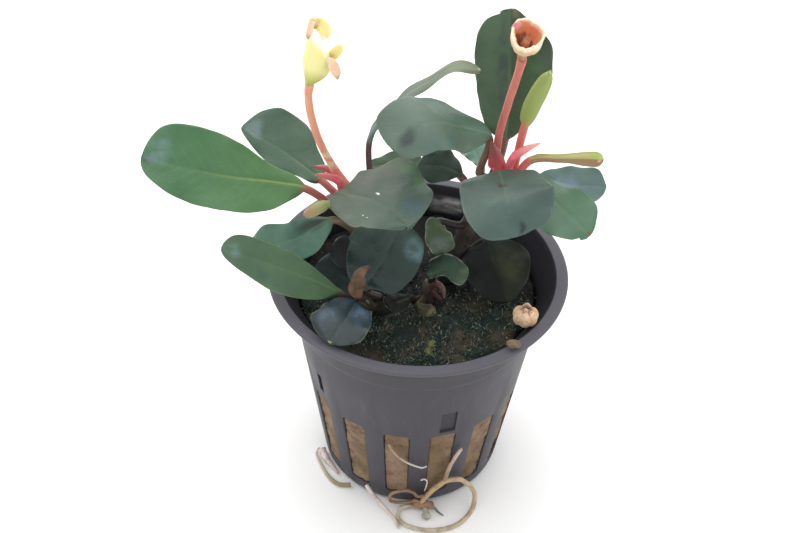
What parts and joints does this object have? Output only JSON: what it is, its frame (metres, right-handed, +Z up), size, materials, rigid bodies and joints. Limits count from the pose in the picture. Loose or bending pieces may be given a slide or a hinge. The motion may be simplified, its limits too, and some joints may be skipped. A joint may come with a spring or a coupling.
{
  "type": "potted bucephalandra",
  "caption": "Small aquarium plant with stalked oval leaves and pink flower stalks, rooted in mineral wool under moss in a slotted plastic net pot with a flared lip.",
  "frame": {"origin": "centre of the pot's flat base, on the surface it stands on", "axes": "+Z up from the base to the tips of the plant; -Y is the front, the side with the loose roots; +X is to the right seen from the front"},
  "size_m": [0.0763, 0.0523, 0.0944],
  "materials": {
    "pot_plastic": "dark grey, faintly glossy",
    "mineral_wool": "matt brown fibres",
    "moss": "matt, dark green",
    "stem": "dark, slightly glossy",
    "leaf_green": "satin leaf skin",
    "leaf_shaded": "satin leaf skin, dark",
    "leaf_young": "satin, yellow green",
    "stalk_pink": "satin, pink red",
    "spathe_cream": "matt petal, cream",
    "dried": "matt, dry",
    "root": "satin, tan"
  },
  "bodies": {
    "root": {"net_pot": "pot_plastic", "wool_plug": "mineral_wool", "moss": "moss", "stem_left": "stem", "stem_right": "stem", "stem_front": "stem", "stem_middle": "stem", "leaf_far_left": "leaf_green", "leaf_back_left": "leaf_green", "leaf_drooping_left": "leaf_green", "leaf_front_left": "leaf_green", "leaf_middle_left": "leaf_green", "leaf_middle_low": "leaf_green", "leaf_front_small": "leaf_green", "leaf_upper_arch": "leaf_green", "leaf_upper_behind": "leaf_green", "leaf_thin_arch": "leaf_green", "leaf_upright": "leaf_green", "leaf_rolled_upright": "leaf_young", "leaf_rolled_right": "leaf_young", "leaf_right_round": "leaf_green", "leaf_right_low": "leaf_green", "leaf_far_right": "leaf_green", "leaf_dark_middle": "leaf_shaded", "leaf_behind_middle": "leaf_shaded", "leaf_hanging_middle": "leaf_shaded", "leaf_curled_middle": "leaf_shaded", "leaf_low_dark": "leaf_shaded", "leaf_low_olive": "leaf_shaded", "leaf_old_mossy": "leaf_shaded", "leaf_inside_left": "leaf_shaded", "leaf_inside_brown": "leaf_shaded", "leaf_new_left": "leaf_young", "scale_left_upper": "stalk_pink", "scale_left_lower": "stalk_pink", "scale_right_upper": "stalk_pink", "scale_right_side": "stalk_pink", "scale_middle": "stalk_pink", "flower_stalk_left": "stalk_pink", "flower_stalk_right": "stalk_pink", "spathe_left": "spathe_cream", "spathe_right": "spathe_cream", "spadix_left": "dried", "spadix_right": "dried", "root_big_loop": "root", "root_climbing": "root", "root_pale": "root", "root_small_ring": "root", "root_mass": "root", "root_spike": "root", "root_hook": "root", "root_left_loop": "root", "root_left_strip": "root", "root_slot_thread": "root", "dried_bract": "dried", "root_nub": "root", "dried_flower": "dried", "dried_crumb": "dried"}
  },
  "joints": []
}
